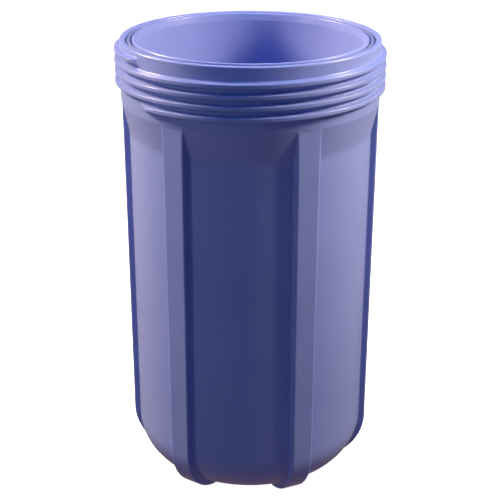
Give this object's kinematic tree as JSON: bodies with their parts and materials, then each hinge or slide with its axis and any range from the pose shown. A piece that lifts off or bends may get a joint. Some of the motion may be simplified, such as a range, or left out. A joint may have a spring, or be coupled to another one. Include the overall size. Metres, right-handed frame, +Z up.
{
  "type": "filter housing sump",
  "caption": "Open blue plastic bowl of a large cartridge filter housing, with external thread, ribs, feet and a rim O-ring.",
  "frame": {"origin": "centre of the plane that the six feet stand on, on the bowl's axis", "axes": "+Z up along the bowl's axis towards the open mouth; +X through the middle of one of the six ribs"},
  "size_m": [0.165, 0.165, 0.2865],
  "materials": {
    "sump_plastic": "glossy moulded polypropylene",
    "seal_rubber": "satin blue-grey silicone rubber"
  },
  "bodies": {
    "bowl": {"sump": "sump_plastic"},
    "seal": {"rim_seal": "seal_rubber"}
  },
  "joints": [
    {"name": "seal_lift", "type": "slide", "parent": "bowl", "child": "seal", "axis": [0, 0, 1], "range_m": [0, 0.04]}
  ]
}
